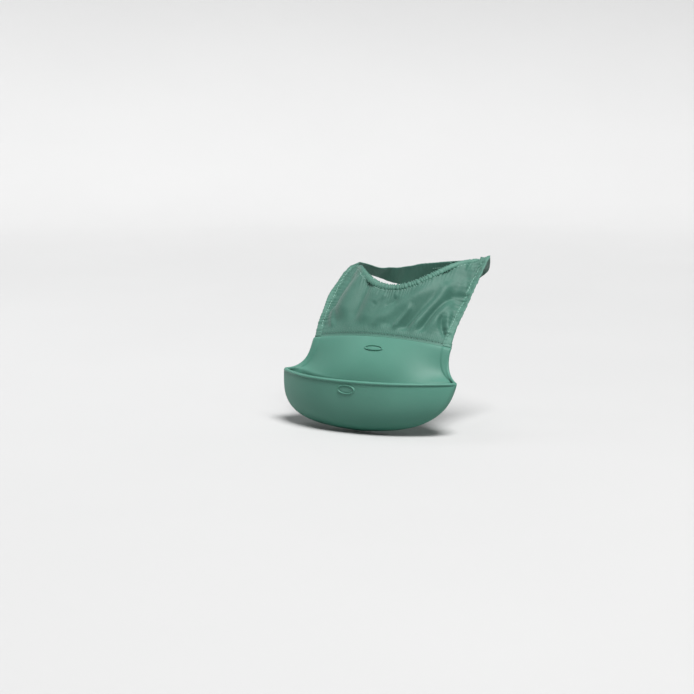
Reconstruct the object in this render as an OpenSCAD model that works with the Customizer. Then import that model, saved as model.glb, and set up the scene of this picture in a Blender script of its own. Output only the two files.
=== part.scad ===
// Roll-up baby bib, shown as worn: a fabric yoke that leans back on the chest,
// sewn to a moulded silicone panel with an open catch pocket.
// Millimetres. +Z is up, the front faces -Y, +X is the wearer's left.
// The origin is the centre of the neck opening.

/* [Silicone panel] */
// Half the width of the seam between fabric and silicone
seam_half = 80; // [70:1:90]
// How far the seam's ends sweep back
seam_sweep = 12; // [6:1:18]
// How far the seam's ends drop below its middle
seam_drop = 8; // [4:1:12]
// Silicone wall thickness
wall = 1.8; // [1.4:0.1:2.4]
// Extra thickness of the side borders
border_rise = 0.9; // [0.4:0.1:1.4]

/* [Pocket] */
// Half the distance between the pocket's tips
tip_half = 98.5; // [90:0.5:110]
// How far the rim's middle stands in front of the tips
pocket_depth = 42.4; // [30:0.1:50]
// Height of the pocket from its bottom to the tips
pocket_height = 50.5; // [44:0.5:60]
// Extra thickness of the bead along the rim
rim_rise = 1.8; // [0.6:0.1:2.4]
// Share of the front wall, from the middle, that presses flat
press_share = 0.6; // [0.5:0.05:0.7]

/* [Yoke] */
// Thickness of the coated fabric
fabric = 0.8; // [0.6:0.1:1.2]
// Thickness of the folded side hems
hem_fabric = 1.6; // [1.2:0.1:2.2]
// Lean of the yoke at the seam, in degrees from upright
lean = 26; // [20:1:32]
// How much higher the left shoulder sits than the middle
shoulder_tilt = 11.5; // [0:0.5:12]
// Half the width of the neck opening
neck_half = 72; // [66:1:74]
// Height of the gathered neck casing
casing_height = 6; // [5:0.5:8]

/* [Straps] */
// Width of each strap behind the neck
strap_width = 28; // [22:1:34]
// How far each strap runs past the middle, in degrees round the neck
strap_overlap = 16; // [10:1:20]

/* [Hidden] */
// The pocket's tips, measured from the middle of the seam
tip_y = -18;
tip_z = -38;
rim_z = tip_z + 0.7;
bottom_y = -33;
bottom_z = tip_z - pocket_height;
panel_middle_y = -27;
panel_middle_z = -42;
// How much the panel steepens towards the pocket: 0 straight, 1 upright there
panel_curve = 0.6;
// Fold back of the panel's sides just inside the tips
side_fold = 13;
border_start = 0.91;
// Share of the width where the front wall's sides stop, short of the outline
side_end = 0.965;
// Fullness of the pocket's outline: 2 an ellipse, more is squarer
outline_power = 2.65;
// How much squarer the outline is on the right side
outline_skew = 0.25;
// How far the left side is drawn in at the seam, on the panel and on the yoke
seam_pull = 3;
panel_pull = 3.2;
yoke_pull = 5;
last_angle = 84;
// Yoke
bend = 0.21;
bend_rad = bend * PI / 180;
yoke_length = 104;
neck_front_y = 30.5;
// Extra cloth towards the neck just in front of the shoulders
neck_fullness = 4;
crest_y = 84;
shoulder_half = 82.6;
tilt_share = 0.8;
neck_share = neck_half / shoulder_half;
hem_share = neck_share + 0.006;
band_height = 7;
yoke_gap = 0.4;
casing_steps = 40;
// Neck loop behind the shoulders
loop_back = 56;
loop_z = 63;
strap_start = 97;
strap_fabric = 1.2;
patch = 1.0;
layer_gap = 3.7;
// How wide the back curve stays before it reaches the middle
strap_pull = 34;
// Origin, measured from the middle of the seam
neck_centre = [0, 85, 60];

green = [0.30, 0.52, 0.44];
fabric_green = [0.27, 0.49, 0.41];
thread_green = [0.45, 0.66, 0.58];

// ---- Vectors and grids ----

function unit(v) = v / max(norm(v), 1e-9);
function mix(a, b, k) = a + (b - a) * k;
function ease(k) = let (c = max(0, min(1, k))) c * c * (3 - 2 * c);

// Normal of a grid of points at row i and column j
function normal_at(g, i, j) =
  let (
    rows = len(g) - 1,
    cols = len(g[0]) - 1,
    across = g[i][min(j + 1, cols)] - g[i][max(j - 1, 0)],
    down = g[min(i + 1, rows)][j] - g[max(i - 1, 0)][j]
  )
  unit(cross(down, across));

// A grid moved along its normals, by a distance for each row and column
function moved(g, by) =
  [for (i = [0:len(g) - 1]) [for (j = [0:len(g[0]) - 1])
    g[i][j] + normal_at(g, i, j) * by[i][j]]];

function even(g, value) = [for (row = g) [for (p = row) value]];

// Closed solid between a front grid and a back grid
module between(front, back) {
  rows = len(front);
  cols = len(front[0]);
  count = rows * cols;
  points = concat([for (row = front) each row], [for (row = back) each row]);
  face_f = [for (i = [0:rows - 2]) for (j = [0:cols - 2])
    let (a = i * cols + j, b = a + 1, c = b + cols, d = a + cols)
    each [[a, b, c], [a, c, d]]];
  face_b = [for (t = face_f) [t[0] + count, t[2] + count, t[1] + count]];
  top = [for (j = [0:cols - 2])
    each [[count + j, count + j + 1, j + 1], [count + j, j + 1, j]]];
  low = (rows - 1) * cols;
  bottom = [for (j = [0:cols - 2])
    let (a = low + j)
    each [[a, a + 1, count + a + 1], [a, count + a + 1, count + a]]];
  left = [for (i = [0:rows - 2])
    let (a = i * cols, d = a + cols)
    each [[count + a, a, d], [count + a, d, count + d]]];
  right = [for (i = [0:rows - 2])
    let (a = i * cols + cols - 1, d = a + cols)
    each [[a, count + a, count + d], [a, count + d, d]]];
  polyhedron(points, concat(face_f, face_b, top, bottom, left, right));
}

// Sheet of a given thickness with the grid as its middle surface
module sheet(g, thick) {
  half = even(g, thick / 2);
  between(moved(g, half), moved(g, -half));
}

// Ring-shaped tube through a list of centres, each with two cross directions
module tube(centres, tall, thin, a, b, inner_a, inner_b, sides) {
  rings = len(centres);
  function ring(k, ra, rb) = [for (s = [0:sides - 1])
    centres[k] + tall[k] * ra * cos(360 * s / sides)
    + thin[k] * rb * sin(360 * s / sides)];
  outer = [for (k = [0:rings - 1]) each ring(k, a, b)];
  inner = [for (k = [0:rings - 1]) each ring(k, inner_a, inner_b)];
  count = rings * sides;
  hollow = inner_a > 0;
  wall_out = [for (k = [0:rings - 2]) for (s = [0:sides - 1])
    let (n = (s + 1) % sides, a0 = k * sides + s, a1 = k * sides + n)
    each [[a0, a0 + sides, a1], [a1, a0 + sides, a1 + sides]]];
  wall_in = [for (t = wall_out) [t[0] + count, t[2] + count, t[1] + count]];
  last = (rings - 1) * sides;
  cap_start = [for (s = [0:sides - 1])
    let (n = (s + 1) % sides)
    each [[s, n, count + n], [s, count + n, count + s]]];
  cap_end = [for (s = [0:sides - 1])
    let (n = (s + 1) % sides, p = last + s, q = last + n)
    each [[p, count + q, q], [p, count + p, count + q]]];
  fan_start = [for (s = [1:sides - 2]) [0, s, s + 1]];
  fan_end = [for (s = [1:sides - 2]) [last, last + s + 1, last + s]];
  if (hollow)
    polyhedron(concat(outer, inner), concat(wall_out, wall_in, cap_start, cap_end));
  else
    polyhedron(outer, concat(wall_out, fan_start, fan_end));
}

// One stitch: a short round thread from p to q
module stitch(p, q, r = 0.35) {
  run = q - p;
  long = norm(run);
  translate(p)
    rotate([0, acos(run[2] / long), atan2(run[1], run[0])])
      cylinder(h = long, r = r, $fn = 12);
}

// ---- Silicone ----

// Free side edge of the panel, s from 0 at the seam to 1 at the tip
function edge(s) = [
  seam_half + (tip_half - seam_half) * pow(s, 1.7),
  seam_sweep + (tip_y - seam_sweep) * (0.45 * sqrt(s) + 0.55 * pow(s, 3)),
  -seam_drop + (tip_z + seam_drop) * (2 * s - s * s)];

// Inward fold of the panel near its sides: 1 at its deepest, 0 at the edge
function fold(u) = pow(abs(u), 4) * (1 - pow(abs(u), 8)) / 0.385;

// Where the left side is drawn in under the raised shoulder: 0 elsewhere
function pull(u) = pow(max(u, 0), 2);

function panel(u, s) =
  let (
    e = edge(s),
    y = panel_middle_y * s * (1 + panel_curve - panel_curve * s),
    z = panel_middle_z * s
  )
  [e[0] * u - pull(u) * (seam_pull * (1 - s) + panel_pull * sin(180 * s)),
   y + (e[1] - y) * u * u + side_fold * s * s * fold(u),
   z + (e[2] - z) * u * u];

// Outline shared by the pocket's back and front, by angle below the tip
function outline(a, u) =
  let (
    power = outline_power - outline_skew * u,
    c = pow(max(cos(a), 0), 2 / power),
    d = pow(sin(a), 2 / power)
  )
  [tip_half * c, tip_y + (bottom_y - tip_y) * d, tip_z - pocket_height * d];

function pocket_back(u, a) =
  let (
    o = outline(a, u),
    y = mix(panel_middle_y, bottom_y, pow(sin(a), 3)),
    z = mix(panel_middle_z, bottom_z, pow(sin(a), 0.9))
  )
  [o[0] * u,
   y + (o[1] - y) * u * u + side_fold * pow(max(cos(a), 0), 2.5) * fold(u),
   z + (o[2] - z) * u * u];

function pocket_wall(u, a) =
  let (
    o = outline(a, u),
    reach = tip_y - pocket_depth - bottom_y,
    y = bottom_y + reach * pow(max(cos(a), 0), 0.7),
    z = mix(rim_z, bottom_z, pow(sin(a), 0.95))
  )
  [o[0] * u,
   y + (o[1] - y) * pow(abs(u), 2.3),
   z + (o[2] - z) * u * u];

module back_panel() {
  columns = 40;
  upper = [for (i = [0:10]) [for (j = [0:columns]) panel(2 * j / columns - 1, i / 10)]];
  lower = [for (i = [1:10])
    [for (j = [0:columns]) pocket_back(2 * j / columns - 1, last_angle * i / 10)]];
  g = concat(upper, lower);
  half = [for (i = [0:len(g) - 1]) [for (j = [0:columns])
    (wall + (abs(2 * j / columns - 1) > border_start ? border_rise : 0)
      * (i <= 10 ? 1 : 0)) / 2]];
  color(green) between(moved(g, half), moved(g, -half));
}

// Part of the front wall between two shares of its width
module front_wall(from, to, columns) {
  inset = wall / 2 + 0.6;
  g = [for (i = [0:10]) [for (j = [0:columns])
    pocket_wall(mix(from, to, j / columns), last_angle * pow(i / 10, 1.2))
    - [0, inset * pow(i / 10, 4), 0]]];
  half = [for (i = [0:10]) [for (j = [0:columns])
    (wall + (i == 0 ? rim_rise : 0)) / 2]];
  color(green) between(moved(g, half), moved(g, -half));
}

module pocket_front() {
  front_wall(-press_share, press_share, 24);
}

module pocket_side_left() {
  front_wall(press_share + 0.006, side_end, 8);
}

module pocket_side_right() {
  front_wall(-side_end, -press_share - 0.006, 8);
}

// Plain raised ring with no lettering
module oval_ring(width, height, r) {
  scale([1, height / width, 1])
    rotate_extrude($fn = 48)
      translate([width / 2 - r, 0])
        circle(r, $fn = 24);
}

module panel_oval() {
  at = panel(0.025, 0.26);
  color(green) translate(at + [0, -wall * 0.35, wall * 0.3])
    rotate([90 - 45, 0, 0])
      oval_ring(20, 6, 0.6);
}

module pocket_oval() {
  at = pocket_wall(0, 7.8);
  color(green) translate(at + [0, -wall * 0.45, 0])
    rotate([90, 0, 0])
      oval_ring(18.6, 8.4, 0.6);
}

// ---- Fabric yoke ----

// Rise of the left shoulder and the lesser fall of the right one
function tilt_at(x) =
  let (r = x / shoulder_half)
  shoulder_tilt * (tilt_share * r + (1 - tilt_share) * r * r);

function seam_at(u) = [seam_half * u, seam_sweep * u * u, -seam_drop * u * u];
function lean_at(u) = lean + 8 * u * u + 18 * pow(u, 6) * (1 - pow(u, 6));

// Point of the yoke, u across and t millimetres up from the seam
function yoke(u, t) =
  let (
    s = seam_at(u),
    l = lean_at(u),
    k = min(t / yoke_length, 1.1),
    rise = max(min(k, 1), 0),
    inward = seam_pull * (1 - rise) + yoke_pull * sin(180 * pow(rise, 0.7)),
    x = u * (seam_half + 2.6 * k + 3.5 * sin(180 * rise)) - pull(u) * inward
  )
  [x,
   s[1] + (cos(l) - cos(l + bend * t)) / bend_rad,
   s[2] + (sin(l + bend * t) - sin(l)) / bend_rad
     + tilt_at(x) * k * k];

// How far up the yoke a column reaches a given y
function reach_y(u, y) =
  let (l = lean_at(u), s = seam_at(u))
  (acos(cos(l) - bend_rad * (y - s[1])) - l) / bend;

function neck_y(u) =
  neck_front_y + (crest_y - neck_front_y) * pow(u / neck_share, 2)
  + neck_fullness * fold(u / neck_share);
function neck_t(u) = reach_y(u, neck_y(u));

function yoke_normal(u, t) =
  unit(cross(yoke(u, t - 1) - yoke(u, t + 1), yoke(u + 0.01, t) - yoke(u - 0.01, t)));

module seam_band() {
  columns = 32;
  g = [for (i = [0:2]) [for (j = [0:columns])
    yoke(2 * j / columns - 1, 0.6 + wall / 2 + (band_height - 0.6 - wall / 2) * (1 - i / 2))]];
  color(fabric_green) sheet(g, hem_fabric);
}

module seam_stitching() {
  count = 48;
  color(thread_green) for (k = [0:count - 1]) {
    u = (2 * k + 1) / count - 1;
    lift = yoke_normal(u * 0.98, 3) * (hem_fabric / 2 + 0.15);
    stitch(yoke(u * 0.98 - 0.012, 3) + lift, yoke(u * 0.98 + 0.012, 3) + lift);
  }
}

module front_fabric() {
  columns = 36;
  rows = 14;
  low = band_height + yoke_gap;
  g = [for (i = [0:rows]) [for (j = [0:columns])
    let (u = neck_share * (2 * j / columns - 1), high = neck_t(u) - casing_height - 0.3)
    yoke(u, mix(high, low, i / rows))]];
  color(fabric_green) sheet(g, fabric);
}

module side_hem(from, to) {
  rows = 16;
  low = band_height + yoke_gap;
  g = [for (i = [0:rows]) [for (j = [0:3])
    let (u = mix(from, to, j / 3), high = reach_y(u, crest_y))
    yoke(u, mix(high, low, i / rows))]];
  color(fabric_green) sheet(g, hem_fabric);
}

module hem_left() {
  side_hem(hem_share, 1);
}

module hem_right() {
  side_hem(-1, -hem_share);
}

module hem_stitching(side) {
  count = 26;
  u = side * (hem_share + 0.018);
  color(thread_green) for (k = [1:count - 2]) {
    t = band_height + 2 + k * (reach_y(u, crest_y) - band_height - 4) / count;
    lift = yoke_normal(u, t) * (hem_fabric / 2 + 0.15);
    stitch(yoke(u, t) + lift, yoke(u, t + 2) + lift);
  }
}

module hem_stitching_left() {
  hem_stitching(1);
}

module hem_stitching_right() {
  hem_stitching(-1);
}

// Casing stations along the neckline
function casing_u(k) = (neck_share - 0.01) * (2 * k / casing_steps - 1);
function casing_point(k) = yoke(casing_u(k), neck_t(casing_u(k)) - casing_height / 2);
function casing_thin(k) = yoke_normal(casing_u(k), neck_t(casing_u(k)) - casing_height / 2);
function casing_tall(k) =
  let (run = casing_point(min(k + 1, casing_steps)) - casing_point(max(k - 1, 0)))
  unit(cross(unit(run), casing_thin(k)));

module neck_casing() {
  points = [for (k = [0:casing_steps]) casing_point(k)];
  tall = [for (k = [0:casing_steps]) casing_tall(k)];
  thin = [for (k = [0:casing_steps]) casing_thin(k)];
  color(fabric_green)
    tube(points, tall, thin, casing_height / 2, 1.7, casing_height / 2 - 0.6, 1.0, 10);
}

module neck_elastic() {
  points = [for (k = [0:casing_steps]) casing_point(k)];
  tall = [for (k = [0:casing_steps]) casing_tall(k)];
  thin = [for (k = [0:casing_steps]) casing_thin(k)];
  color([0.9, 0.9, 0.88])
    tube(points, tall, thin, casing_height / 2 - 1.4, 0.5, 0, 0, 8);
}

module casing_stitching() {
  count = 44;
  color(thread_green) for (k = [1:count - 2]) {
    u = (neck_share - 0.04) * ((2 * k + 1) / count - 1);
    t = neck_t(u) - casing_height - 1.4;
    v = u + 0.016;
    s = neck_t(v) - casing_height - 1.4;
    lift = yoke_normal(u, t) * (fabric / 2 + 0.15);
    stitch(yoke(u, t) + lift, yoke(v, s) + lift);
  }
}

// Blank label sewn inside, just above the seam
module care_label() {
  g = [for (i = [0:3]) [for (j = [0:3])
    let (u = 0.5 + 0.24 * j / 3, t = 31 - 20 * i / 3)
    yoke(u, t) - yoke_normal(u, t) * (fabric / 2 + 0.35)]];
  color([0.93, 0.93, 0.9]) sheet(g, 0.4);
}

// ---- Straps ----

// Neck-side edge of a strap, by angle round the neck: a quadratic curve from
// the shoulder to the middle of the back, mirrored where it runs past the middle
function strap_inner(a, side, out) =
  let (
    reach = (a - 90) / 90,
    k = reach > 1 ? 2 - reach : reach,
    back = crest_y + loop_back + out,
    x = neck_half * (1 - k) * (1 - k) + 2 * k * (1 - k) * strap_pull,
    y = crest_y * (1 - k) * (1 - k) + back * (2 * k - k * k)
  )
  [side * (reach > 1 ? -x : x), y,
   loop_z + tilt_at(side * (reach > 1 ? -x : x))];

// Point of a strap, v from 0 at the neck side to 1 at the outer edge
function strap_point(a, v, side, out) =
  let (
    p = strap_inner(a, side, out),
    turn = 12 + 63 * ease((a - 90) / 40),
    away = unit([side * sin(a), -cos(a), 0]),
    across = away * cos(turn) - [0, 0, sin(turn)],
    wide = mix(15, strap_width, ease((a - 92) / 60)),
    end = 180 + strap_overlap,
    near = max(0, 1 - (end - a) / 8),
    share = sqrt(1 - 0.8 * near * near)
  )
  p + across * wide * (0.5 + (v - 0.5) * share);

function strap_grid(side, out, from, to, low, high, rows, columns) =
  [for (i = [0:rows]) [for (j = [0:columns])
    strap_point(mix(from, to, i / rows), mix(low, high, j / columns), side, out)]];

module strap(side, out) {
  end = 180 + strap_overlap;
  color(fabric_green) sheet(strap_grid(side, out, strap_start, end, 0, 1, 26, 5), strap_fabric);
}

module strap_left() {
  strap(1, layer_gap);
}

module strap_right() {
  mirror_sheet = strap_grid(-1, 0, strap_start, 180 + strap_overlap, 1, 0, 26, 5);
  color(fabric_green) sheet(mirror_sheet, strap_fabric);
}

// Hook patch on the neck side of the outer strap
module hook_patch() {
  color([0.32, 0.5, 0.43])
    sheet(strap_grid(1, layer_gap - strap_fabric / 2 - patch / 2 - 0.05,
      162, 190, 0.2, 0.8, 8, 3), patch);
}

// Loop patch on the outer side of the inner strap
module loop_patch() {
  color([0.35, 0.55, 0.47])
    sheet(strap_grid(-1, strap_fabric / 2 + patch / 2 + 0.05,
      162, 190, 0.8, 0.2, 8, 3), patch);
}

module patch_stitching(side, out) {
  color(thread_green) for (v = [0.25, 0.75]) for (k = [0:8]) {
    a = 163.5 + k * 3;
    stitch(strap_point(a, v, side, out), strap_point(a + 1.8, v, side, out), 0.3);
  }
}

module hook_stitching() {
  patch_stitching(1, layer_gap + strap_fabric / 2 + 0.15);
}

module loop_stitching() {
  patch_stitching(-1, -strap_fabric / 2 - 0.15);
}

module place() {
  translate(-neck_centre) children();
}

place() back_panel();
place() pocket_front();
place() pocket_side_left();
place() pocket_side_right();
place() panel_oval();
place() pocket_oval();
place() seam_band();
place() seam_stitching();
place() front_fabric();
place() neck_casing();
place() neck_elastic();
place() casing_stitching();
place() hem_left();
place() hem_right();
place() hem_stitching_left();
place() hem_stitching_right();
place() care_label();
place() strap_left();
place() strap_right();
place() hook_patch();
place() loop_patch();
place() hook_stitching();
place() loop_stitching();
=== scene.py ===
import math

import bpy
import numpy as np
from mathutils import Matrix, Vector


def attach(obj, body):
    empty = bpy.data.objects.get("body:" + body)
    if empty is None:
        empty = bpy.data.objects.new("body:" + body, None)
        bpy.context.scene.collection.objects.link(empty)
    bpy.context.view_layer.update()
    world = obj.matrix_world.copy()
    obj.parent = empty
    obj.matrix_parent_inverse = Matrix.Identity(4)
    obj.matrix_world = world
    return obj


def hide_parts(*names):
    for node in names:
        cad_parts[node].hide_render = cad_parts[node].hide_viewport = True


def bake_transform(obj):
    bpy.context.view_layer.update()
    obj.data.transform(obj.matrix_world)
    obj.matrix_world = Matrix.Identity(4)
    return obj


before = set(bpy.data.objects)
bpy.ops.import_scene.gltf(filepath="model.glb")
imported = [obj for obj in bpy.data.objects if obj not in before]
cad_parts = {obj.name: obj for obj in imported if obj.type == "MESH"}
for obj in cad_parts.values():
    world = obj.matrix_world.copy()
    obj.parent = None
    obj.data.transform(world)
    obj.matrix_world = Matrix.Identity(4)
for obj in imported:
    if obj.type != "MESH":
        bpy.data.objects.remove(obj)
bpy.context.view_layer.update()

MM = 0.001
# Middle of the seam between fabric and silicone, in millimetres of the row frame
SEAM = np.array([0.0, -85.0, -60.0])

# ---------------------------------------------------------------- Dimensions
SEAM_HALF, SEAM_SWEEP, SEAM_DROP = 80.0, 12.0, 8.0
TIP = np.array([98.5, -18.0, -38.0])
POCKET_DEPTH, POCKET_HEIGHT = 42.4, 50.5
RIM_Z, BOTTOM_Y, BOTTOM_Z = -37.3, -33.0, -88.5
PANEL_Y, PANEL_Z, SIDE_FOLD = -27.0, -42.0, 13.0
WALL = 1.8
LEAN, BEND, YOKE_LENGTH, TILT = 26.0, 0.21, 104.0, 11.5
SHOULDER, NECK_HALF, NECK_FRONT, CREST = 82.6, 72.0, 30.5, 84.0
NECK = NECK_HALF / SHOULDER
HEM = NECK + 0.032
BAND = 7.0
LOOP_BACK, LOOP_Z, STRAP_WIDTH, STRAP_PULL, LAYER_GAP = 56.0, 63.0, 28.0, 34.0, 3.7
BEND_RAD = math.radians(BEND)
# How the wearer's left side is drawn in: at the seam, on the panel, on the yoke
SEAM_PULL, PANEL_PULL, YOKE_PULL = 3.0, 3.2, 5.0
# Fullness of the pocket's outline (2 is an ellipse), and how much squarer its right side is
OUTLINE_POWER, OUTLINE_SKEW = 2.65, 0.25
PANEL_CURVE, TILT_LINE, TILT_CURVE, NECK_FULLNESS = 0.6, 0.8, 0.2, 4
FLOOR_GAP = 2.2


def sind(a):
    return np.sin(np.radians(a))


def cosd(a):
    return np.cos(np.radians(a))


def mix(a, b, k):
    return a + (b - a) * k


def ease(k):
    """Smooth step from 0 to 1."""
    k = np.clip(k, 0, 1)
    return k * k * (3 - 2 * k)


def pack(x, y, z):
    return np.stack(np.broadcast_arrays(x, y, z), -1)


def unit(v):
    return v / np.maximum(np.linalg.norm(v, axis=-1, keepdims=True), 1e-9)


# ---------------------------------------------------------------- Silicone surfaces
def edge(s):
    """Side of the back panel, from the seam (0) to the pocket's tip (1)."""
    return pack(
        SEAM_HALF + (TIP[0] - SEAM_HALF) * s**1.7,
        SEAM_SWEEP + (TIP[1] - SEAM_SWEEP) * (0.45 * np.sqrt(s) + 0.55 * s**3),
        -SEAM_DROP + (TIP[2] + SEAM_DROP) * (2 * s - s * s),
    )


def fold(u):
    """Inward fold near both sides: 1 at its deepest, 0 in the middle and at the edges."""
    return np.abs(u) ** 4 * (1 - np.abs(u) ** 8) / 0.385


def pull(u):
    """How far the wearer's left side is drawn in by the raised shoulder: 0 elsewhere."""
    return np.maximum(u, 0) ** 2


def panel(u, s):
    """Back panel above the pocket: u across from -1 to 1, s down from the seam."""
    e = edge(s)
    y = PANEL_Y * s * (1 + PANEL_CURVE - PANEL_CURVE * s)
    z = PANEL_Z * s
    return pack(
        e[..., 0] * u - pull(u) * (SEAM_PULL * (1 - s) + PANEL_PULL * sind(180 * s)),
        y + (e[..., 1] - y) * u * u + SIDE_FOLD * s * s * fold(u),
        z + (e[..., 2] - z) * u * u,
    )


def outline(a, u):
    """Edge shared by the pocket's back and front, by angle below the tip."""
    power = OUTLINE_POWER - OUTLINE_SKEW * u
    c = np.maximum(cosd(a), 0) ** (2 / power)
    d = np.maximum(sind(a), 0) ** (2 / power)
    return pack(TIP[0] * c, mix(TIP[1], BOTTOM_Y, d), TIP[2] - POCKET_HEIGHT * d)


def pocket_back(u, a):
    o = outline(a, u)
    y = mix(PANEL_Y, BOTTOM_Y, sind(a) ** 3)
    z = mix(PANEL_Z, BOTTOM_Z, sind(a) ** 0.9)
    return pack(
        o[..., 0] * u,
        y + (o[..., 1] - y) * u * u + SIDE_FOLD * np.maximum(cosd(a), 0) ** 2.5 * fold(u),
        z + (o[..., 2] - z) * u * u,
    )


def pocket_wall(u, a):
    o = outline(a, u)
    y = BOTTOM_Y + (TIP[1] - POCKET_DEPTH - BOTTOM_Y) * np.maximum(cosd(a), 0) ** 0.7
    z = mix(RIM_Z, BOTTOM_Z, sind(a) ** 0.95)
    return pack(
        o[..., 0] * u,
        y + (o[..., 1] - y) * np.abs(u) ** 2.3,
        z + (o[..., 2] - z) * u * u,
    )


# ---------------------------------------------------------------- Fabric surfaces
FIX_U = np.linspace(-1, 1, 81)
FIX_Z = np.zeros(81)


def tilt_at(x):
    """Rise of the crest towards the higher shoulder."""
    r = x / SHOULDER
    return TILT * (TILT_LINE * r + TILT_CURVE * r * r)


def straighten(u, t):
    """Small rise that keeps the crest straight across each hem."""
    return np.interp(u, FIX_U, FIX_Z) * ease((t - 50) / 40)


def yoke(u, t):
    """Middle surface of the yoke: u across from -1 to 1, t up along the cloth."""
    lean = LEAN + 8 * u * u + 18 * u**6 * (1 - u**6)
    k = np.minimum(t / YOKE_LENGTH, 1.1)
    k1 = np.clip(k, 0, 1)
    x = u * (SEAM_HALF + 2.6 * k + 3.5 * sind(180 * k1))
    x = x - pull(u) * (SEAM_PULL * (1 - k1) + YOKE_PULL * sind(180 * k1**0.7))
    return pack(
        x,
        SEAM_SWEEP * u * u + (cosd(lean) - cosd(lean + BEND * t)) / BEND_RAD,
        -SEAM_DROP * u * u + (sind(lean + BEND * t) - sind(lean)) / BEND_RAD
        + tilt_at(x) * k * k
        + straighten(u, t),
    )


def reach_y(u, y):
    """How far up the cloth the yoke reaches depth y."""
    lean = LEAN + 8 * u * u + 18 * u**6 * (1 - u**6)
    c = cosd(lean) - BEND_RAD * (y - SEAM_SWEEP * u * u)
    return (np.degrees(np.arccos(c)) - lean) / BEND


crest_line = yoke(FIX_U, reach_y(FIX_U, CREST))[:, 2]
for end in (-1, 1):
    inner_z, outer_z = np.interp([0.8 * end, 1.0 * end], FIX_U, crest_line)
    beyond = FIX_U * end > 0.8
    along = (FIX_U * end - 0.8) / 0.2
    point = 2.5 if end > 0 else 0.0
    chord = mix(inner_z, outer_z + point, along)
    full = mix(0.45, 1.0, np.clip(along, 0, 1) ** 2) if end > 0 else 1.0
    FIX_Z = np.where(beyond, np.maximum(chord - crest_line, 0) * full, FIX_Z)


def neck_t(u):
    r = u / NECK
    return reach_y(u, NECK_FRONT + (CREST - NECK_FRONT) * r**2 + NECK_FULLNESS * fold(r))


def yoke_normal(u, t):
    return unit(np.cross(yoke(u + 0.01, t) - yoke(u - 0.01, t), yoke(u, t + 1) - yoke(u, t - 1)))


# Drape of the cloth: soft ridges (+) and valleys (-), each from one point of the
# cloth to another (millimetres across, millimetres up), with a width and height
FOLDS = [
    (38, 58, -4, 14, 6.5, 3.2),
    (50, 58, 25, 8, 5, -4.3),
    (26, 36, 18, 10, 2.8, 2.4),
    (12, 42, 4, 12, 7, -1.7),
    (60, 72, 34, 14, 5.5, 3.6),
    (66, 60, 42, 12, 4.4, -4.1),
    (72, 76, 54, 18, 5.5, 3.1),
    (66, 38, 75, 9, 3, 2.6),
    (60, 32, 70, 10, 2.8, -2.4),
    (75, 54, 78, 14, 2.4, -1.6),
    (-42, 76, -51, 26, 10, 3.6),
    (-27, 70, -36, 20, 6.5, -2.8),
    (-60, 82, -68, 34, 5, -2.4),
    (-14, 52, -22, 18, 8, 1.8),
    (48, 86, 67, 44, 6, -2.2),
    (57, 94, 74, 60, 4.5, 2),
    (80, 92, 66, 50, 9, -3.4),
    (-68, 36, -58, 12, 3.6, 1.7),
    (-5, 47, -11, 36, 3, 1.2),
    (7, 45, 2, 33, 2.4, -1.1),
]


def drape(u, t):
    x = u * SEAM_HALF
    h = np.zeros(np.broadcast(u, t).shape)
    for x0, t0, x1, t1, width, height in FOLDS:
        run = np.array([x1 - x0, t1 - t0], float)
        long = np.hypot(*run)
        along = ((x - x0) * run[0] + (t - t0) * run[1]) / long**2
        side = ((x - x0) * run[1] - (t - t0) * run[0]) / long
        bend = 1.3 * np.sin(along * 4.0 + x0)
        fade = ease((along + 0.15) / 0.35) * ease((1.2 - along) / 0.35)
        h = h + height * fade * np.exp(-(((side + bend) / width) ** 2))
    # Slow unevenness, and puckers that fan out from the neckline, hems and seam
    h = h + 0.35 * np.sin(x * 0.11 + 1.0) * np.cos(t * 0.09 - x * 0.05)
    inside = np.abs(u) < NECK
    top = np.where(inside, neck_t(np.clip(u, -NECK, NECK)), 200) - t
    gather = np.exp(-np.maximum(top - 5, 0) / 7.0)
    h = h + 0.42 * gather * np.sin(x * 1.9 + 2.2 * np.sin(x * 0.37)) * ease((NECK - np.abs(u)) / 0.1)
    side_gap = (HEM - np.abs(u)) * SEAM_HALF
    pull = np.exp(-np.maximum(side_gap, 0) / 6.0)
    h = h + 0.45 * pull * np.sin(t * 1.25 + 1.7 * np.sin(t * 0.33 + 2 * u))
    h = h + 0.16 * np.exp(-np.maximum(t - BAND, 0) / 5.0) * np.sin(x * 1.45 + 1.3 * np.sin(x * 0.21))
    # The cloth is held flat where it is sewn
    return h * ease((t - 5.0) / 9.0) * ease((np.abs(top) - 2.0) / 6.0 + 0.35)


def ribs(x, t):
    """Fine gathers in the strip that is sewn over the silicone, with its row of stitches."""
    fine = 0.19 * np.sin(x * 3.1 + 0.8 * np.sin(x * 0.5)) * ease((t - 0.6) / 2.0) * ease((13.5 - t) / 6.0)
    row = -0.2 * np.exp(-(((t - 3.0) / 0.7) ** 2))
    return fine + row


def cloth(u, t, lift=0.0):
    """The yoke's fabric as it lies, with its folds and gathers."""
    over_seam = 0.55 * ease((16.0 - t) / 12.0)
    height = drape(u, t) + ribs(u * SEAM_HALF, t) + over_seam + lift
    return yoke(u, t) + yoke_normal(u, t) * height[..., None]


# ---------------------------------------------------------------- Straps
def strap_inner(a, side, out):
    reach = (a - 90) / 90
    k = np.where(reach > 1, 2 - reach, reach)
    x = NECK_HALF * (1 - k) ** 2 + 2 * k * (1 - k) * STRAP_PULL
    y = CREST * (1 - k) ** 2 + (CREST + LOOP_BACK + out) * (2 * k - k * k)
    x = side * np.where(reach > 1, -x, x)
    return pack(x, y, LOOP_Z + tilt_at(x))


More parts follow.
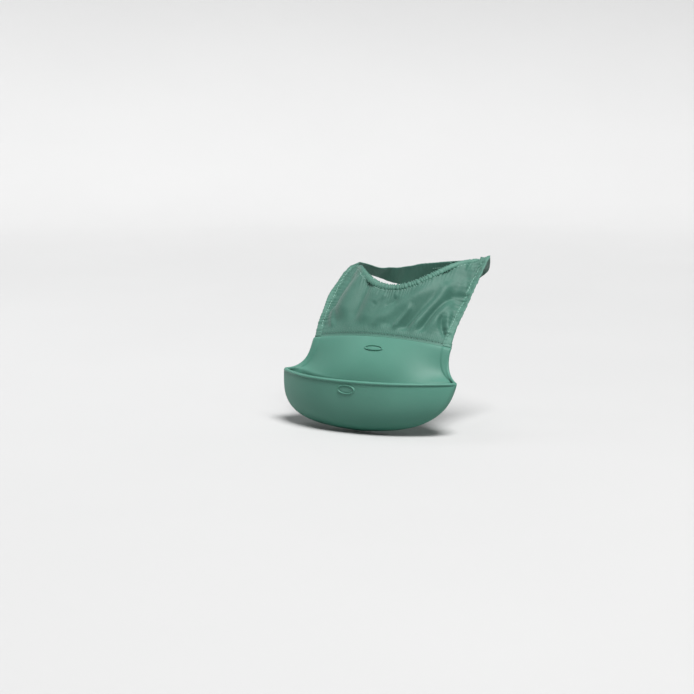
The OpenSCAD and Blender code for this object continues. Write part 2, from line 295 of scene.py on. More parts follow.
def strap_point(a, v, side, out, end=196.0):
    p = strap_inner(a, side, out)
    turn = 12 + 63 * ease((a - 90) / 40)
    away = unit(pack(side * sind(a), -cosd(a), 0.0))
    down = pack(0.0, 0.0, 1.0)
    across = away * cosd(turn)[..., None] - down * sind(turn)[..., None]
    wide = mix(15.0, STRAP_WIDTH, ease((a - 92) / 60))
    near = np.maximum(0, 1 - (end - a) / 8)
    share = np.sqrt(1 - 0.8 * near * near)
    return p + across * (wide * (0.5 + (v - 0.5) * share))[..., None]


def strap_sheet(a, v, side, out):
    """The strap, growing out of the yoke's crest between the neckline and the side."""
    u = side * mix(NECK, 1.0, v)
    crest = yoke(u, reach_y(u, CREST))
    body = strap_point(a, v, side, out)
    # The cloth runs on over the shoulder before it turns down behind it
    far = np.clip((a - 90) / 18, 0, 1)[..., None]
    if side > 0:
        over = pack(0.0, mix(3.0, 0.0, v), mix(4.0, 0.0, v))
    else:
        over = pack(0.0, mix(9.0, 6.0, v), mix(12.0, 7.0, v))
    crest = crest + over * far * (1.6 - far)
    k = ease((a - 90) / 20)[..., None]
    return crest * (1 - k) + body * k


# ---------------------------------------------------------------- Mesh helpers
def vertex_normals(v, f):
    tri = np.concatenate([f[:, [0, 1, 2]], f[:, [0, 2, 3]]])
    n = np.cross(v[tri[:, 1]] - v[tri[:, 0]], v[tri[:, 2]] - v[tri[:, 0]])
    out = np.zeros_like(v)
    for k in range(3):
        np.add.at(out, tri[:, k], n)
    return unit(out)


def grid_faces(rows, cols):
    i, j = np.meshgrid(np.arange(rows - 1), np.arange(cols - 1), indexing="ij")
    a = (i * cols + j).ravel()
    return np.stack([a, a + 1, a + cols + 1, a + cols], -1)


def make(name, verts, faces, material, uv=None):
    mesh = bpy.data.meshes.new(name)
    mesh.from_pydata(((verts + SEAM) * MM).tolist(), [], [list(map(int, x)) for x in faces])
    mesh.validate()
    mesh.update()
    mesh.polygons.foreach_set("use_smooth", [True] * len(mesh.polygons))
    if uv is not None:
        layer = mesh.uv_layers.new(name="cloth")
        index = np.zeros(len(mesh.loops), int)
        mesh.loops.foreach_get("vertex_index", index)
        layer.data.foreach_set("uv", uv[index].astype(np.float32).ravel())
    mesh.materials.append(material)
    obj = bpy.data.objects.new(name, mesh)
    bpy.context.scene.collection.objects.link(obj)
    return obj


def shell(name, v, f, front, back, material, uv=None, bulge=0.5):
    """Closed sheet round a middle surface, with rounded free edges."""
    n = vertex_normals(v, f)
    front = np.broadcast_to(front, len(v))[:, None]
    back = np.broadcast_to(back, len(v))[:, None]
    count = len(v)
    pairs = {}
    for face in f:
        for k in range(4):
            a, b = int(face[k]), int(face[(k + 1) % 4])
            if a != b:
                pairs[(a, b)] = pairs.get((a, b), 0) + 1
    rim = [(a, b) for (a, b) in pairs if (b, a) not in pairs]
    outward = np.zeros_like(v)
    for a, b in rim:
        d = np.cross(v[b] - v[a], n[a] + n[b])
        outward[a] += d
        outward[b] += d
    edge_ids = sorted({a for e in rim for a in e})
    ring = {a: 2 * count + k for k, a in enumerate(edge_ids)}
    middle = v + n * (front - back) / 2 + unit(outward) * (front + back) / 2 * bulge
    verts = np.concatenate([v + n * front, v - n * back, middle[edge_ids]])
    faces = [list(x) for x in f] + [[x + count for x in reversed(list(q))] for q in f.tolist()]
    for a, b in rim:
        faces.append([b, a, ring[a], ring[b]])
        faces.append([ring[b], ring[a], a + count, b + count])
    full_uv = None
    if uv is not None:
        full_uv = np.concatenate([uv, uv, uv[edge_ids]])
    clean = []
    for q in faces:
        q = [x for k, x in enumerate(q) if x != q[k - 1]]
        if len(q) > 2:
            clean.append(q)
    return make(name, verts, clean, material, full_uv)


def tube(name, path, tall, thin, a, b, material, sides=14, wrinkle=None):
    """Tube along a path with an elliptical section and closed ends."""
    n = len(path)
    ang = np.linspace(0, 2 * np.pi, sides, endpoint=False)
    a = np.broadcast_to(a, n)
    b = np.broadcast_to(b, n)
    verts, uvs = [], []
    run = np.concatenate([[0], np.cumsum(np.linalg.norm(np.diff(path, axis=0), axis=1))])
    for k in range(n):
        grow = 1.0 if wrinkle is None else wrinkle(run[k], ang)
        verts.append(
            path[k]
            + tall[k] * (a[k] * np.cos(ang) * grow)[:, None]
            + thin[k] * (b[k] * np.sin(ang) * grow)[:, None]
        )
        uvs.append(np.stack([np.full(sides, run[k]), ang * 3.0], -1))
    verts = np.concatenate(verts + [path[:1], path[-1:]])
    uvs = np.concatenate(uvs + [[[0, 0]], [[run[-1], 0]]])
    faces = []
    for k in range(n - 1):
        for s in range(sides):
            t = (s + 1) % sides
            faces.append([k * sides + s, (k + 1) * sides + s, (k + 1) * sides + t, k * sides + t])
    for s in range(sides):
        t = (s + 1) % sides
        faces.append([n * sides, s, t])
        faces.append([n * sides + 1, (n - 1) * sides + t, (n - 1) * sides + s])
    return make(name, verts, faces, material, uvs)


def stitches(name, starts, ends, normals, r, material):
    """A row of short sewn threads, each dipping into the cloth at both ends."""
    verts, faces = [], []
    rings, sides = 5, 6
    ang = np.linspace(0, 2 * np.pi, sides, endpoint=False)
    for p, q, n in zip(starts, ends, normals):
        d = unit(q - p)
        c = np.cross(d, n)
        base = len(verts)
        for k in range(rings):
            w = k / (rings - 1)
            lift = math.sin(math.pi * w) * r * 0.9 - r * 0.55
            swell = 0.35 + 0.65 * math.sin(math.pi * (0.1 + 0.8 * w))
            centre = p + (q - p) * w + n * lift
            for g in ang:
                verts.append(centre + (c * math.cos(g) + n * math.sin(g)) * r * swell)
        for k in range(rings - 1):
            for s in range(sides):
                t = (s + 1) % sides
                faces.append([base + k * sides + s, base + k * sides + t,
                              base + (k + 1) * sides + t, base + (k + 1) * sides + s])
        faces.append([base + s for s in reversed(range(sides))])
        faces.append([base + (rings - 1) * sides + s for s in range(sides)])
    return make(name, np.array(verts), faces, material)


# ---------------------------------------------------------------- Materials
def shader(name):
    m = bpy.data.materials.new(name)
    m.use_nodes = True
    nodes, links = m.node_tree.nodes, m.node_tree.links
    return m, nodes, links, nodes["Principled BSDF"]


def noise(nodes, links, source, scale, detail=3.0, rough=0.55):
    n = nodes.new("ShaderNodeTexNoise")
    n.inputs["Scale"].default_value = scale
    n.inputs["Detail"].default_value = detail
    n.inputs["Roughness"].default_value = rough
    links.new(source, n.inputs["Vector"])
    return n.outputs["Fac"]


def ramp(nodes, links, source, stops):
    r = nodes.new("ShaderNodeValToRGB")
    e = r.color_ramp.elements
    while len(e) < len(stops):
        e.new(0.5)
    for k, (at, colour) in enumerate(stops):
        e[k].position = at
        e[k].color = (*colour, 1)
    links.new(source, r.inputs["Fac"])
    return r.outputs["Color"]


def spread(nodes, links, source, low, high):
    r = nodes.new("ShaderNodeMapRange")
    r.inputs["To Min"].default_value = low
    r.inputs["To Max"].default_value = high
    links.new(source, r.inputs["Value"])
    return r.outputs["Result"]


def add(nodes, links, a, b, share_a, share_b):
    parts = []
    for source, share in ((a, share_a), (b, share_b)):
        k = nodes.new("ShaderNodeMath")
        k.operation = "MULTIPLY"
        k.inputs[1].default_value = share
        links.new(source, k.inputs[0])
        parts.append(k.outputs[0])
    s = nodes.new("ShaderNodeMath")
    s.operation = "ADD"
    links.new(parts[0], s.inputs[0])
    links.new(parts[1], s.inputs[1])
    return s.outputs[0]


def bump(nodes, links, source, bsdf, strength, distance):
    b = nodes.new("ShaderNodeBump")
    b.inputs["Strength"].default_value = strength
    b.inputs["Distance"].default_value = distance
    links.new(source, b.inputs["Height"])
    links.new(b.outputs["Normal"], bsdf.inputs["Normal"])


def silicone_material():
    m, nodes, links, b = shader("silicone")
    where = nodes.new("ShaderNodeTexCoord").outputs["Object"]
    cloud = noise(nodes, links, where, 16, 2)
    fine = noise(nodes, links, where, 900, 4, 0.6)
    speck = noise(nodes, links, where, 2600, 2, 0.5)
    colour = ramp(nodes, links, cloud, [(0.3, (0.070, 0.200, 0.153)), (0.7, (0.084, 0.226, 0.174))])
    # Painted shade: the colour is darkened towards the bottom of the pocket
    split = nodes.new("ShaderNodeSeparateXYZ")
    links.new(where, split.inputs["Vector"])
    # Mask of the painted shade: 0 above the pocket, rising to 0.75 at its bottom
    depth = nodes.new("ShaderNodeMapRange")
    depth.interpolation_type = "SMOOTHSTEP"
    depth.inputs["From Min"].default_value = -0.115
    depth.inputs["From Max"].default_value = -0.152
    depth.inputs["To Min"].default_value = 0.0
    depth.inputs["To Max"].default_value = 0.75
    links.new(split.outputs["Z"], depth.inputs["Value"])
    painted_shade_blend = nodes.new("ShaderNodeMix")
    painted_shade_blend.data_type = "RGBA"
    links.new(depth.outputs["Result"], painted_shade_blend.inputs[0])
    links.new(colour, painted_shade_blend.inputs[6])
    # Colour of the painted shade at the bottom of the pocket
    painted_shade_blend.inputs[7].default_value = (0.018, 0.120, 0.082, 1.0)
    links.new(painted_shade_blend.outputs[2], b.inputs["Base Color"])
    links.new(spread(nodes, links, fine, 0.40, 0.52), b.inputs["Roughness"])
    b.inputs["Subsurface Weight"].default_value = 0.12
    b.inputs["Subsurface Radius"].default_value = (0.4, 1.0, 0.7)
    b.inputs["Subsurface Scale"].default_value = 0.002
    b.inputs["Specular IOR Level"].default_value = 0.2
    bump(nodes, links, add(nodes, links, fine, speck, 0.6, 0.4), b, 0.25, 0.00012)
    return m


def fabric_material(name, dark, light, weave=1.0, sheen=0.12, rough=(0.46, 0.62)):
    m, nodes, links, b = shader(name)
    coord = nodes.new("ShaderNodeTexCoord")
    where, flat = coord.outputs["Object"], coord.outputs["UV"]
    cloud = noise(nodes, links, where, 26, 3)
    threads = []
    for direction in ("X", "Y"):
        w = nodes.new("ShaderNodeTexWave")
        w.wave_type = "BANDS"
        w.bands_direction = direction
        w.wave_profile = "SIN"
        w.inputs["Scale"].default_value = 1.35 * weave
        w.inputs["Distortion"].default_value = 0.6
        w.inputs["Detail"].default_value = 1.0
        links.new(flat, w.inputs["Vector"])
        threads.append(w.outputs["Fac"])
    weave_height = add(nodes, links, threads[0], threads[1], 0.5, 0.5)
    crinkle = noise(nodes, links, where, 240, 4, 0.6)
    tint = add(nodes, links, cloud, weave_height, 0.8, 0.2)
    links.new(ramp(nodes, links, tint, [(0.32, dark), (0.68, light)]), b.inputs["Base Color"])
    links.new(spread(nodes, links, crinkle, rough[0], rough[1]), b.inputs["Roughness"])
    b.inputs["Sheen Weight"].default_value = sheen
    b.inputs["Sheen Roughness"].default_value = 0.45
    b.inputs["Specular IOR Level"].default_value = 0.45
    bump(nodes, links, add(nodes, links, weave_height, crinkle, 0.3, 0.7), b, 0.4, 0.0004)
    return m


def thread_material(name, dark, light):
    m, nodes, links, b = shader(name)
    where = nodes.new("ShaderNodeTexCoord").outputs["Object"]
    w = nodes.new("ShaderNodeTexWave")
    w.bands_direction = "DIAGONAL"
    w.inputs["Scale"].default_value = 900
    links.new(where, w.inputs["Vector"])
    links.new(
        ramp(nodes, links, w.outputs["Fac"], [(0.0, dark), (1.0, light)]),
        b.inputs["Base Color"],
    )
    links.new(spread(nodes, links, w.outputs["Fac"], 0.45, 0.65), b.inputs["Roughness"])
    b.inputs["Sheen Weight"].default_value = 0.3
    bump(nodes, links, w.outputs["Fac"], b, 0.5, 0.0001)
    return m


def patch_material(name, dark, light, scale):
    m, nodes, links, b = shader(name)
    where = nodes.new("ShaderNodeTexCoord").outputs["Object"]
    v = nodes.new("ShaderNodeTexVoronoi")
    v.inputs["Scale"].default_value = scale
    v.inputs["Randomness"].default_value = 0.35
    links.new(where, v.inputs["Vector"])
    fuzz = noise(nodes, links, where, 1500, 3, 0.7)
    links.new(ramp(nodes, links, v.outputs["Distance"], [(0.1, light), (0.8, dark)]), b.inputs["Base Color"])
    links.new(spread(nodes, links, fuzz, 0.6, 0.85), b.inputs["Roughness"])
    b.inputs["Sheen Weight"].default_value = 0.5
    bump(nodes, links, add(nodes, links, v.outputs["Distance"], fuzz, -0.7, 0.3), b, 0.9, 0.0006)
    return m


SILICONE = silicone_material()
FABRIC = fabric_material("yoke_fabric", (0.033, 0.116, 0.086), (0.047, 0.150, 0.112))
BINDING = fabric_material("binding_fabric", (0.042, 0.138, 0.103), (0.068, 0.196, 0.147), 1.2, 0.16)
STRAP = fabric_material("strap_fabric", (0.036, 0.122, 0.090), (0.052, 0.160, 0.119))
THREAD = thread_material("thread", (0.17, 0.36, 0.29), (0.30, 0.53, 0.44))
SEAM_THREAD = thread_material("seam_thread", (0.04, 0.13, 0.10), (0.08, 0.20, 0.155))
HOOK = patch_material("hook", (0.06, 0.16, 0.12), (0.13, 0.28, 0.21), 900)
LOOP = patch_material("loop", (0.08, 0.20, 0.15), (0.16, 0.34, 0.26), 600)
LABEL = fabric_material("label", (0.62, 0.62, 0.59), (0.74, 0.74, 0.71), 1.6, 0.2)
ELASTIC = fabric_material("elastic", (0.55, 0.55, 0.53), (0.70, 0.70, 0.68), 2.0, 0.3)

# ---------------------------------------------------------------- Silicone body
COLS = 181
u_row = np.linspace(-1, 1, COLS)


def rows_of(surface, values):
    u, k = np.meshgrid(u_row, values)
    return surface(u, k)


def behind_band(u, t):
    return yoke(u, t) - yoke_normal(u, t) * 1.0


tucked = rows_of(behind_band, np.array([5.5, 3.5, 1.6]))
upper = rows_of(panel, np.linspace(0, 1, 50))
fall = 86.0 * np.linspace(0, 1, 44) ** 1.35
back = rows_of(pocket_back, fall[1:])
front = rows_of(pocket_wall, fall[::-1])
turn = np.linspace(0, np.pi, 8)[1:-1]
bridge = []
for g in turn:
    k = (1 - math.cos(g)) / 2
    row = back[-1] * (1 - k) + front[0] * k
    row[:, 2] -= 1.3 * math.sin(g) * (1 - np.abs(u_row) ** 2)
    bridge.append(row)
body = np.concatenate([tucked, upper, back, np.array(bridge), front])
rows = len(body)
first_back = len(tucked) + len(upper)
ids = np.arange(rows * COLS).reshape(rows, COLS)
# The pocket's front and back share their outline at both sides
last_back = first_back + len(back) - 1
for i in range(first_back, last_back + 1):
    mirror = rows - 1 - (i - first_back) - 1
    ids[mirror, 0], ids[mirror, -1] = ids[i, 0], ids[i, -1]
for i in range(last_back + 1, last_back + 1 + len(bridge)):
    ids[i, 0], ids[i, -1] = ids[last_back, 0], ids[last_back, -1]
tip_row = first_back - 1
ids[rows - 1, 0], ids[rows - 1, -1] = ids[tip_row, 0], ids[tip_row, -1]
flat_v = body.reshape(-1, 3)
faces = np.stack(
    [ids[:-1, :-1].ravel(), ids[1:, :-1].ravel(), ids[1:, 1:].ravel(), ids[:-1, 1:].ravel()], -1
)
used, compact = np.unique(faces, return_inverse=True)
faces = compact.reshape(faces.shape)
points = flat_v[used]
row_of = (used // COLS).astype(int)
share = np.abs(u_row[used % COLS])


def relax(p, f, weight, times):
    """Draw each point towards the mean of its neighbours, by its weight."""
    e = np.concatenate([f[:, [0, 1]], f[:, [1, 2]], f[:, [2, 3]], f[:, [3, 0]]])
    e = np.unique(np.sort(e[e[:, 0] != e[:, 1]], 1), axis=0)
    degree = np.bincount(e.ravel(), minlength=len(p))[:, None]
    for _ in range(times):
        total = np.zeros_like(p)
        np.add.at(total, e[:, 0], p[e[:, 1]])
        np.add.at(total, e[:, 1], p[e[:, 0]])
        p = p + (total / degree - p) * weight
    return p


in_pocket = row_of > tip_row
depth = np.where(in_pocket, np.minimum(row_of - tip_row, rows - 1 - row_of), 0)
near_outline = ease((share - 0.80) / 0.15) * ease(depth / 10.0)
near_bottom = ease((depth - 30.0) / 10.0)
near_base = ease((share - 0.6) / 0.3) * ease((9.0 - np.abs(row_of - tip_row)) / 9.0)
near_base = near_base * (row_of < rows - 3) * (share < 0.97)
weight = np.clip(np.maximum(near_outline, near_bottom), 0, 1)[:, None] * 0.5
points = relax(points, faces, weight, 26)
points = relax(points, faces, near_base[:, None] * 0.4, 10)

border = ease((share - 0.900) / 0.016) * (row_of > len(tucked)) * ease((tip_row + 1 - row_of) / 2.0)
front_half = WALL / 2 + 0.85 * border
silicone = shell("silicone_body", points, faces, front_half, WALL / 2, SILICONE, bulge=0.9)

# Bead: down the left edge, along the pocket's rim, and up the right edge
s_edge = np.linspace(0.02, 1, 46)
left = panel(np.full(len(s_edge), -1.0), s_edge)
rim_u = np.linspace(-1, 1, 141)[1:-1]
rim = pocket_wall(rim_u, np.zeros_like(rim_u))
right = panel(np.full(len(s_edge), 1.0), s_edge[::-1])
bead = np.concatenate([left, rim, right])
for _ in range(3):
    bead[1:-1] = bead[1:-1] * 0.5 + (bead[2:] + bead[:-2]) * 0.25
direction = unit(np.gradient(bead, axis=0))
panel_n = unit(np.cross(
    panel(np.full(46, 0.98), s_edge) - panel(np.full(46, 0.94), s_edge),
    panel(np.full(46, 0.96), s_edge - 0.01) - panel(np.full(46, 0.96), s_edge + 0.01)))
up = pack(np.zeros(len(bead)), 0.0, 1.0)
side_n = np.concatenate([panel_n * [-1, 1, 1], unit(np.cross(direction, up))[46:-46], panel_n[::-1]])
for _ in range(10):
    side_n[1:-1] = unit(side_n[1:-1] * 0.5 + (side_n[2:] + side_n[:-2]) * 0.25)
side_n = unit(side_n - direction * np.sum(side_n * direction, -1, keepdims=True))
tall_n = unit(np.cross(side_n, direction))
on_rim = np.concatenate([np.zeros(46), np.ones(len(rim)), np.zeros(46)])
for _ in range(16):
    on_rim[1:-1] = on_rim[1:-1] * 0.5 + (on_rim[2:] + on_rim[:-2]) * 0.25
rim_bead = tube("rim_bead", bead, tall_n, side_n, 1.15 + 0.35 * on_rim, 1.3 + 1.0 * on_rim, SILICONE, 16)


def emboss(name, surface, wide, high):
    """Plain oval: a raised ring round a slightly raised pad, lying on a surface."""
    radii = np.array([0, 0.3, 0.6, 0.78, 0.86, 0.90, 0.94, 0.98, 1.02, 1.06, 1.10, 1.16])
    heights = np.array([0.34, 0.34, 0.30, 0.16, 0.02, 0.36, 1.0, 1.25, 1.0, 0.40, 0.0, -0.35])
    ang = np.linspace(0, 2 * np.pi, 64, endpoint=False)
    r, a = np.meshgrid(radii, ang, indexing="ij")
    p, n = surface(r * np.cos(a) * wide / 2, r * np.sin(a) * high / 2)
    v = (p + n * (heights[:, None, None] + WALL / 2)).reshape(-1, 3)
    f = []
    for i in range(len(radii) - 1):
        for k in range(64):
            m = (k + 1) % 64
            f.append([i * 64 + k, (i + 1) * 64 + k, (i + 1) * 64 + m, i * 64 + m])
    return make(name, v, f, SILICONE)


def on_panel(x, d):
    s = 0.26 - d / 58.0
    u = (x + 2.0) / edge(s)[..., 0]
    n = unit(np.cross(panel(u + 0.01, s) - panel(u - 0.01, s), panel(u, s - 0.01) - panel(u, s + 0.01)))
    return panel(u, s), n


def on_pocket(x, d):
    target = -45.0 + d
    a = np.degrees(np.arcsin(np.clip((RIM_Z - target) / (RIM_Z - BOTTOM_Z), 0, 1) ** (1 / 0.95)))
    u = x / outline(a, x / TIP[0])[..., 0]
    n = unit(np.cross(pocket_wall(u + 0.01, a) - pocket_wall(u - 0.01, a),
                      pocket_wall(u, a - 0.5) - pocket_wall(u, a + 0.5)))
    return pocket_wall(u, a), n


panel_oval = emboss("panel_oval_relief", on_panel, 20.0, 5.8)
pocket_oval = emboss("pocket_oval_relief", on_pocket, 18.6, 8.4)

# ---------------------------------------------------------------- Yoke
def top_of(u):
    """Upper edge of the fabric: the neckline, then the crest over each shoulder."""
    inner = neck_t(np.clip(u, -NECK, NECK)) - 2.4
    return np.where(np.abs(u) < NECK, inner, reach_y(u, CREST))


cu = np.linspace(-HEM - 0.006, HEM + 0.006, 421)
ct = np.linspace(0, 1, 110) ** 1.15
U, K = np.meshgrid(cu, ct)
T = mix(0.4, top_of(U), K)
yoke_points = cloth(U, T, 0.1)
uv = np.stack([U * SEAM_HALF, T], -1).reshape(-1, 2)
yoke_cloth = shell("yoke_cloth", yoke_points.reshape(-1, 3), grid_faces(*U.shape), 0.4, 0.4, FABRIC, uv)

# Folded edge of the cloth along the seam, just below the gathers
bu = np.linspace(-1.0, 1.0, 400)
bt = np.array([-0.3, 0.0, 0.5, 1.2, 2.2, 3.4, 4.6, 5.8, 6.6])
U, T = np.meshgrid(bu, bt)
x = U * SEAM_HALF
inner = 1 - ease((np.abs(U) - HEM + 0.02) / 0.02)
rise = mix(0.72, 0.12, inner * ease((T - 0.4) / 1.0))
rise = rise + 0.12 * np.sin(x * 1.9 + np.sin(x * 0.4)) * (1 - inner)
band_points = yoke(U, T) + yoke_normal(U, T) * rise[..., None]
uv = np.stack([x, T], -1).reshape(-1, 2)
band = shell("seam_binding", band_points.reshape(-1, 3), grid_faces(*U.shape), 0.45, 0.45, BINDING, uv)

su = (2 * np.arange(48) + 1) / 48 - 1
n = yoke_normal(su, np.full(48, 3.0))
seam_thread = stitches(
    "seam_thread",
    yoke(su * 0.98 - 0.011, np.full(48, 3.0)) + n * 1.28,
    yoke(su * 0.98 + 0.011, np.full(48, 3.0)) + n * 1.28,
    n, 0.34, SEAM_THREAD)


def hem_strip(name, side):
    v = np.linspace(0, 1, 15)
    k = np.linspace(0, 1, 170)
    V, K = np.meshgrid(v, k)
    U = side * mix(HEM - 0.004, 1.0, V)
    T = mix(0.3, reach_y(U, CREST), K)
    across = (0.35 if side < 0 else 0.12) + 0.65 * np.cos(np.pi * (V - 0.15)) ** 2
    wave = 0.34 * np.sin(T * 1.55 + 1.2 * np.sin(T * 0.31 + side)) * across
    wave = wave + 0.2 * np.sin(T * 0.7 + 3 * V + side)
    crease = -0.45 * np.exp(-(((V - 0.17) / 0.07) ** 2))
    roll = -0.9 * ease((V - 0.86) / 0.14) ** 2
    sway = (0.9 if side < 0 else 0.35) * np.sin(T * 0.16 + side) * V * ease(K / 0.1) * ease((1 - K) / 0.1)
    lift = 0.55 + 0.6 * ease((16.0 - T) / 12.0) + (wave + crease) * ease(K / 0.03) + roll
    inner = drape(np.full_like(U, side * HEM), T) * (1 - V)
    p = yoke(U, T) + yoke_normal(U, T) * (lift + inner)[..., None]
    p[..., 0] += side * sway * 0.6
    if side < 0:
        p, U, T, V = p[:, ::-1], U[:, ::-1], T[:, ::-1], V[:, ::-1]
    uv = np.stack([U * SEAM_HALF, T], -1).reshape(-1, 2)
    return shell(name, p.reshape(-1, 3), grid_faces(*U.shape), 0.65, 0.65, BINDING, uv)


hem_l = hem_strip("hem_strip_left", 1)
hem_r = hem_strip("hem_strip_right", -1)


def hem_thread(name, side):
    count = 30
    k = np.arange(1, count - 1)
    u = np.full(len(k), side * (HEM + 0.018))
    high = reach_y(u, CREST)
    t = BAND + 2 + k * (high - BAND - 4) / count
    n = yoke_normal(u, t)
    lift = (0.72 + 0.65 + 0.83 * drape(np.full(len(k), side * HEM), t))[:, None]
    return stitches(name, yoke(u, t) + n * lift, yoke(u, t + 2.2) + n * lift, n, 0.34, THREAD)


hem_thread_l = hem_thread("hem_thread_left", 1)
hem_thread_r = hem_thread("hem_thread_right", -1)

# Gathered casing round the neckline
steps = 420
u_c = (NECK - 0.004) * np.linspace(-1, 1, steps)
t_c = neck_t(u_c) - 2.8
path = yoke(u_c, t_c) + yoke_normal(u_c, t_c) * 0.2
thin = yoke_normal(u_c, t_c)
run = unit(np.gradient(path, axis=0))
tall = unit(np.cross(thin, run))
end_taper = ease((NECK - np.abs(u_c)) / 0.05) * 0.45 + 0.55


run_c = np.concatenate([[0], np.cumsum(np.linalg.norm(np.diff(path, axis=0), axis=1))])


def gathers(d, ang):
    ripple = np.sin(d * 2.0 + 1.6 * np.sin(d * 0.53) + 0.5 * np.cos(ang))
    second = np.sin(d * 3.5 + 2.0 * np.sin(d * 0.37) + ang)
    middle = run_c[-1] / 2
    calm = 0.35 + 0.65 * ease((middle * 0.72 - abs(d - middle)) / (middle * 0.35))
    return 1.0 + (0.23 * ripple + 0.06 * second) * calm


slim = ease((np.abs(u_c) - 0.40) / 0.40)
casing = tube(
    "casing_cloth", path, tall, thin,
    (3.3 - 0.9 * slim) * end_taper, (1.7 - 0.5 * slim) * end_taper, BINDING, 22, gathers)

elastic = tube("elastic_cord", path[::6], tall[::6], thin[::6], 1.5, 0.5, ELASTIC, 8)

count = 62
cs = (NECK - 0.035) * ((2 * np.arange(1, count - 1) + 1) / count - 1)
ce = cs + 0.013


def neck_row(u):
    t = neck_t(u) - 7.2
    return cloth(u, t, 0.6)


casing_thread = stitches(
    "casing_thread", neck_row(cs), neck_row(ce), yoke_normal(cs, neck_t(cs) - 7.2), 0.3, THREAD)

# Blank care label inside the yoke, hanging flat behind the folds
lu = np.linspace(0.5, 0.74, 48)
lk = np.linspace(0, 1, 52)
U, K = np.meshgrid(lu, lk)
T = mix(11.0, 31.0, K)
curl = 1.2 * (1 - K) ** 2 + 0.3 * np.sin(U * 40)
behind = drape(U, T)
hang = behind.min() - 1.0 + 0.35 * (behind - behind.min()) * K - curl * 0.5
p = yoke(U, T) + yoke_normal(U, T) * hang[..., None]
uv = np.stack([U * SEAM_HALF, T], -1).reshape(-1, 2)
label = shell("blank_label", p.reshape(-1, 3), grid_faces(*U.shape), 0.15, 0.15, LABEL, uv)

# ---------------------------------------------------------------- Straps
def strap_cloth(name, side, out):
    a = np.linspace(90, 196, 120)
    v = np.linspace(0, 1, 19)
    V, A = np.meshgrid(v, a)
    p = strap_sheet(A, V, side, out)
    f = grid_faces(*V.shape)
    if side > 0:
        f = f[:, ::-1]
    loose = (ease((150 - A) / 30) * ease((A - 90.5) / 8)).reshape(-1, 1)
    flat = relax(p.reshape(-1, 3), f, loose * 0.5, 30)
    p = flat.reshape(p.shape)
    n = vertex_normals(flat, f).reshape(p.shape)
    soft = 0.5 * np.sin(A * 0.42 + 2 * V + side) * ease((150 - A) / 20) * ease((A - 92) / 10)
    soft = soft + 0.22 * np.sin(A * 1.3 + side) * (np.abs(V - 0.5) * 2) ** 3 * ease((A - 108) / 10)
    soft = soft - 0.18 * np.exp(-(((np.abs(V - 0.5) - 0.42) / 0.035) ** 2))
    p = p + n * soft[..., None]
    uv = np.stack([A * 1.5, V * 28], -1).reshape(-1, 2)
    return shell(name, p.reshape(-1, 3), f, 0.6, 0.6, STRAP, uv)


strap_l = strap_cloth("strap_cloth_left", 1, LAYER_GAP)
strap_r = strap_cloth("strap_cloth_right", -1, 0.0)


def patch_pad(name, side, out, material):
    a = np.linspace(162, 190, 40)
    v = np.linspace(0.2, 0.8, 24)
    V, A = np.meshgrid(v, a)
    p = strap_point(A, V, side, out)
    f = grid_faces(*V.shape)
    if side > 0:
        f = f[:, ::-1]
    uv = np.stack([A * 1.5, V * 28], -1).reshape(-1, 2)
    return shell(name, p.reshape(-1, 3), f, 0.5, 0.5, material, uv)


hook = patch_pad("hook_pad", 1, LAYER_GAP - 0.6 - 0.55, HOOK)
loop = patch_pad("loop_pad", -1, 0.6 + 0.55, LOOP)


def patch_thread(name, side, out, sign):
    a = 163.5 + 3.0 * np.arange(9)
    rows_v = np.array([0.22, 0.78])
    A, V = np.meshgrid(a, rows_v)
    A, V = A.ravel(), V.ravel()
    p = strap_point(A, V, side, out)
    q = strap_point(A + 2.0, V, side, out)
    n = unit(pack(np.zeros(len(A)), np.full(len(A), float(sign)), 0.0))
    return stitches(name, p, q, n, 0.32, THREAD)


hook_thread = patch_thread("hook_thread", 1, LAYER_GAP + 0.75, 1)
loop_thread = patch_thread("loop_thread", -1, -0.75, -1)

# ---------------------------------------------------------------- Bodies
def at(x, y, z):
    return tuple((np.array([x, y, z], float) + SEAM) * MM)


for piece in (silicone, rim_bead):
    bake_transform(piece)
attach(panel_oval, "panel")
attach(pocket_oval, "pocket")
for piece in (yoke_cloth, hem_l, hem_r, hem_thread_l, hem_thread_r, label):
    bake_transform(piece)
for piece in (band, seam_thread):
    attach(piece, "panel")
for piece in (casing, elastic, casing_thread):
    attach(piece, "yoke")
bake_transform(strap_l)
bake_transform(strap_r)
for piece in (hook, hook_thread):
    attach(piece, "strap_l")
for piece in (loop, loop_thread):
    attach(piece, "strap_r")

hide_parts("back_panel", "pocket_front", "pocket_side_left", "pocket_side_right")
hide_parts("panel_oval")
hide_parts("pocket_oval")
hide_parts("seam_band")
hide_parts("seam_stitching")
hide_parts("front_fabric")
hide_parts("neck_casing")
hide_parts("neck_elastic")
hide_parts("casing_stitching")
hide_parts("hem_left")
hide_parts("hem_right")
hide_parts("hem_stitching_left")
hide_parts("hem_stitching_right")
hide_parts("care_label")
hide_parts("strap_left")
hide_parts("strap_right")
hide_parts("hook_patch")
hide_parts("loop_patch")
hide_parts("hook_stitching")
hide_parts("loop_stitching")

# ---------------------------------------------------------------- Floor, light, camera
def stage_material(name, colour):
    m, nodes, links, b = shader(name)
    where = nodes.new("ShaderNodeTexCoord").outputs["Object"]
    cloud = noise(nodes, links, where, 3, 2)
    low = tuple(c * 0.985 for c in colour)
    links.new(ramp(nodes, links, cloud, [(0.3, low), (0.7, colour)]), b.inputs["Base Color"])
    links.new(spread(nodes, links, cloud, 0.80, 0.88), b.inputs["Roughness"])
    b.inputs["Specular IOR Level"].default_value = 0.15
    return m


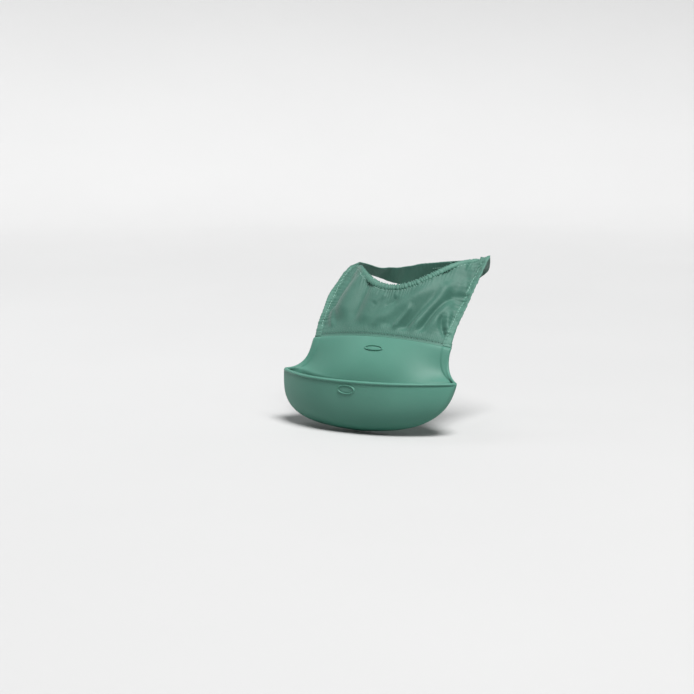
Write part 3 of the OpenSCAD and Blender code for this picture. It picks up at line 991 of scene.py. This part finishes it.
def studio_floor(z):
    """Round pale floor that curves up into a wall all the way round."""
    profile = [(0.0, 0.0), (0.5, 0.0), (1.2, 0.0), (2.4, 0.0)]
    profile += [(2.4 + 1.0 * math.sin(g), 1.0 - 1.0 * math.cos(g)) for g in np.linspace(0.1, math.pi / 2, 12)]
    profile += [(3.4, 1.6), (3.4, 2.2)]
    sides = 96
    verts, faces = [], []
    for r, h in profile:
        for k in range(sides):
            g = 2 * math.pi * k / sides
            verts.append((r * math.cos(g), r * math.sin(g), z + h))
    for i in range(len(profile) - 1):
        for k in range(sides):
            m = (k + 1) % sides
            faces.append((i * sides + k, (i + 1) * sides + k, (i + 1) * sides + m, i * sides + m))
    mesh = bpy.data.meshes.new("floor")
    mesh.from_pydata(verts, [], faces)
    mesh.polygons.foreach_set("use_smooth", [True] * len(mesh.polygons))
    mesh.materials.append(stage_material("floor", (0.52, 0.52, 0.52)))
    obj = bpy.data.objects.new("floor", mesh)
    bpy.context.scene.collection.objects.link(obj)
    return obj


studio_floor((BOTTOM_Z - FLOOR_GAP + SEAM[2]) * MM)


def area_light(name, place, aim, size, power, colour=(1, 1, 1)):
    data = bpy.data.lights.new(name, "AREA")
    data.shape = "DISK"
    data.size = size
    data.energy = power
    data.color = colour
    o = bpy.data.objects.new(name, data)
    o.location = place
    o.rotation_euler = (Vector(aim) - Vector(place)).to_track_quat("-Z", "Y").to_euler()
    bpy.context.scene.collection.objects.link(o)


def sun_light(name, toward_light, power, softness):
    data = bpy.data.lights.new(name, "SUN")
    data.energy = power
    data.angle = softness
    o = bpy.data.objects.new(name, data)
    o.rotation_euler = Vector(toward_light).to_track_quat("Z", "Y").to_euler()
    bpy.context.scene.collection.objects.link(o)


LIGHT_AIM = (0, -0.09, -0.08)
sun_light("daylight", (0.34, -0.30, 1.0), 4.3, 0.45)
area_light("key", (1.0, -0.7, 1.2), LIGHT_AIM, 0.5, 5, (1.0, 0.99, 0.97))
area_light("rim_light", (-1.1, -0.1, 1.1), LIGHT_AIM, 0.6, 3, (0.97, 0.98, 1.0))

world = bpy.data.worlds.new("studio")
world.use_nodes = True
sky = world.node_tree.nodes["Background"]
sky.inputs["Color"].default_value = (0.95, 0.96, 0.97, 1)
sky.inputs["Strength"].default_value = 0.22
bpy.context.scene.world = world
bpy.context.scene.view_settings.view_transform = "Standard"

# Camera: direction, distance and width of view in metres, and the aim beside the seam's middle
AZIMUTH, ELEVATION = math.radians(31), math.radians(8)
DISTANCE, VIEW_WIDTH, SENSOR = 2.0, 0.694, 36
AIM_RIGHT, AIM_UP = -0.0303, -0.0105
toward = Vector((
    math.sin(AZIMUTH) * math.cos(ELEVATION),
    -math.cos(AZIMUTH) * math.cos(ELEVATION),
    math.sin(ELEVATION),
))
right_axis = Vector((math.cos(AZIMUTH), math.sin(AZIMUTH), 0))
up_axis = toward.cross(right_axis)
camera_data = bpy.data.cameras.new("camera")
camera_data.sensor_width = SENSOR
camera_data.lens = SENSOR * DISTANCE / VIEW_WIDTH
camera = bpy.data.objects.new("camera", camera_data)
aim = Vector((SEAM * MM).tolist()) + right_axis * AIM_RIGHT + up_axis * AIM_UP
camera.location = aim + toward * DISTANCE
camera.rotation_euler = toward.to_track_quat("Z", "Y").to_euler()
bpy.context.scene.collection.objects.link(camera)
bpy.context.scene.camera = camera
